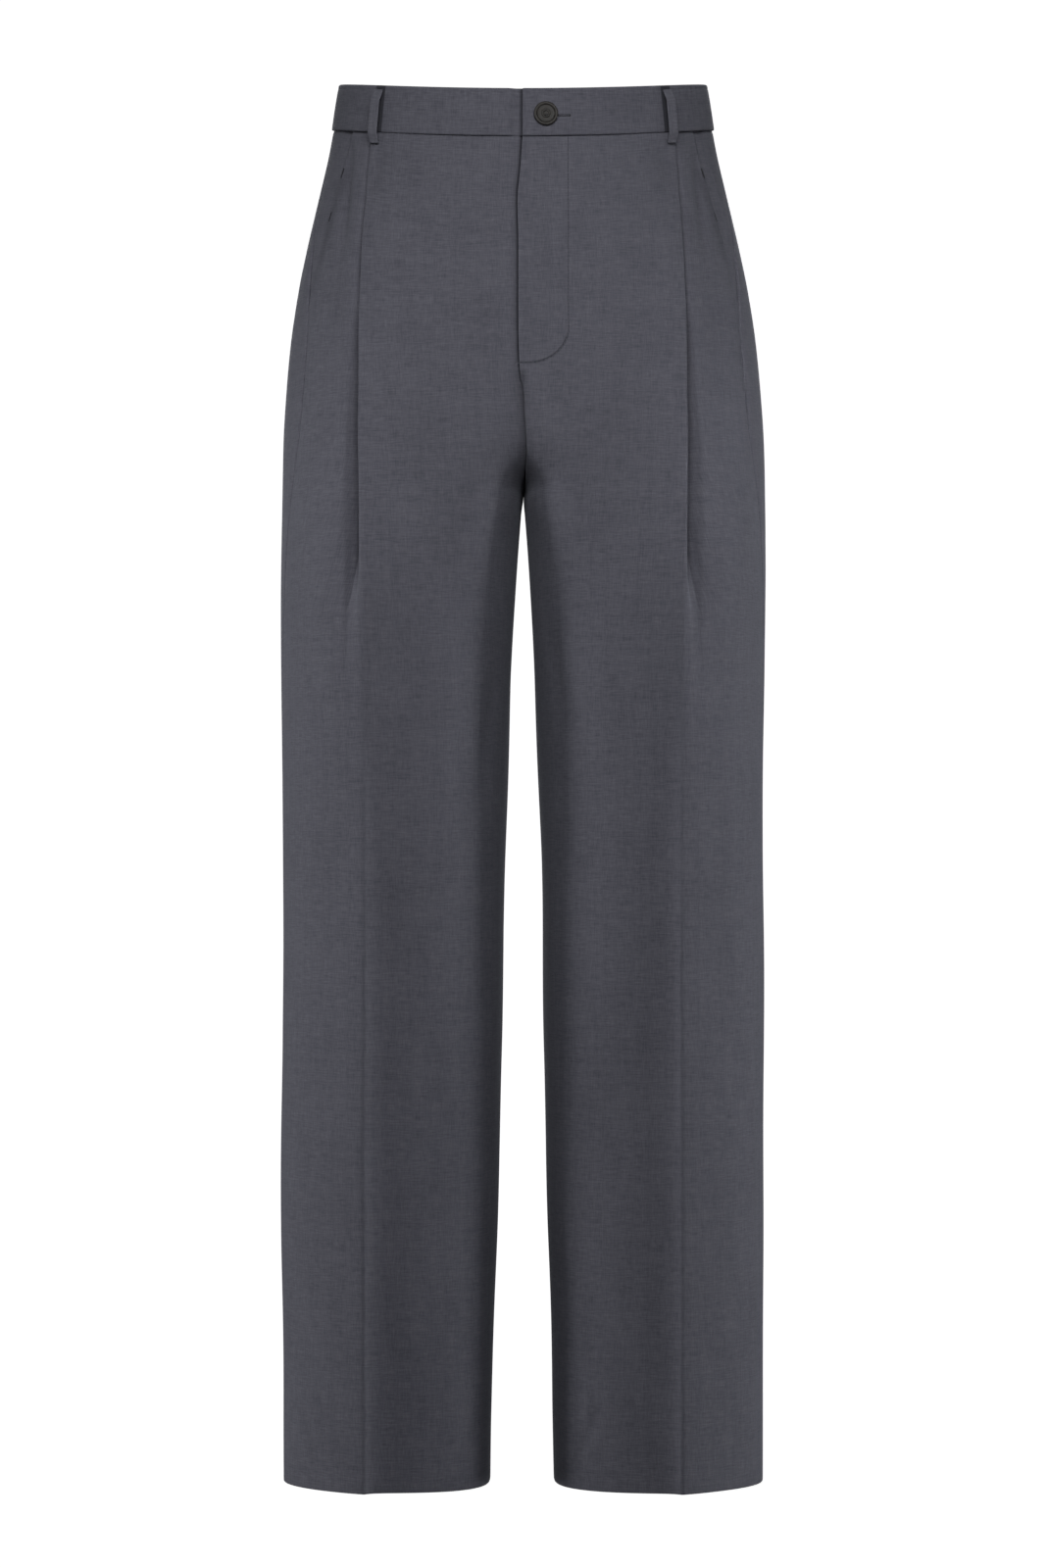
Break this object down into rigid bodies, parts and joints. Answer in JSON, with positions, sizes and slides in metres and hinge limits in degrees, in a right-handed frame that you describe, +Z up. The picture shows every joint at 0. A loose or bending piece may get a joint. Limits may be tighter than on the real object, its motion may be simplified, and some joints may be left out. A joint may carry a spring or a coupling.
{
  "type": "pleated dress trousers",
  "caption": "Pleated wide-leg dress trousers, filled out as when worn, with a lapped fly, buttoned waistband, belt loops and slant pockets.",
  "frame": {"origin": "centre of the waist, half way up the waistband, where the wearer holds the trousers up", "axes": "+Z up, from the hems to the waist; -Y the way the wearer faces; +X the wearer's left side"},
  "size_m": [0.387, 0.2761, 1.1305],
  "materials": {
    "suiting": "matte slate grey wool, plain weave",
    "dark_horn": "matte, near black"
  },
  "bodies": {
    "root": {"front_left": "suiting", "back_left": "suiting", "pocket_facing_left": "suiting", "waistband_left": "suiting", "belt_loop_front_left": "suiting", "belt_loop_back_left": "suiting", "front_right": "suiting", "back_right": "suiting", "pocket_facing_right": "suiting", "waistband_right": "suiting", "belt_loop_front_right": "suiting", "belt_loop_back_right": "suiting", "belt_loop_centre_back": "suiting", "button": "dark_horn"}
  },
  "joints": []
}
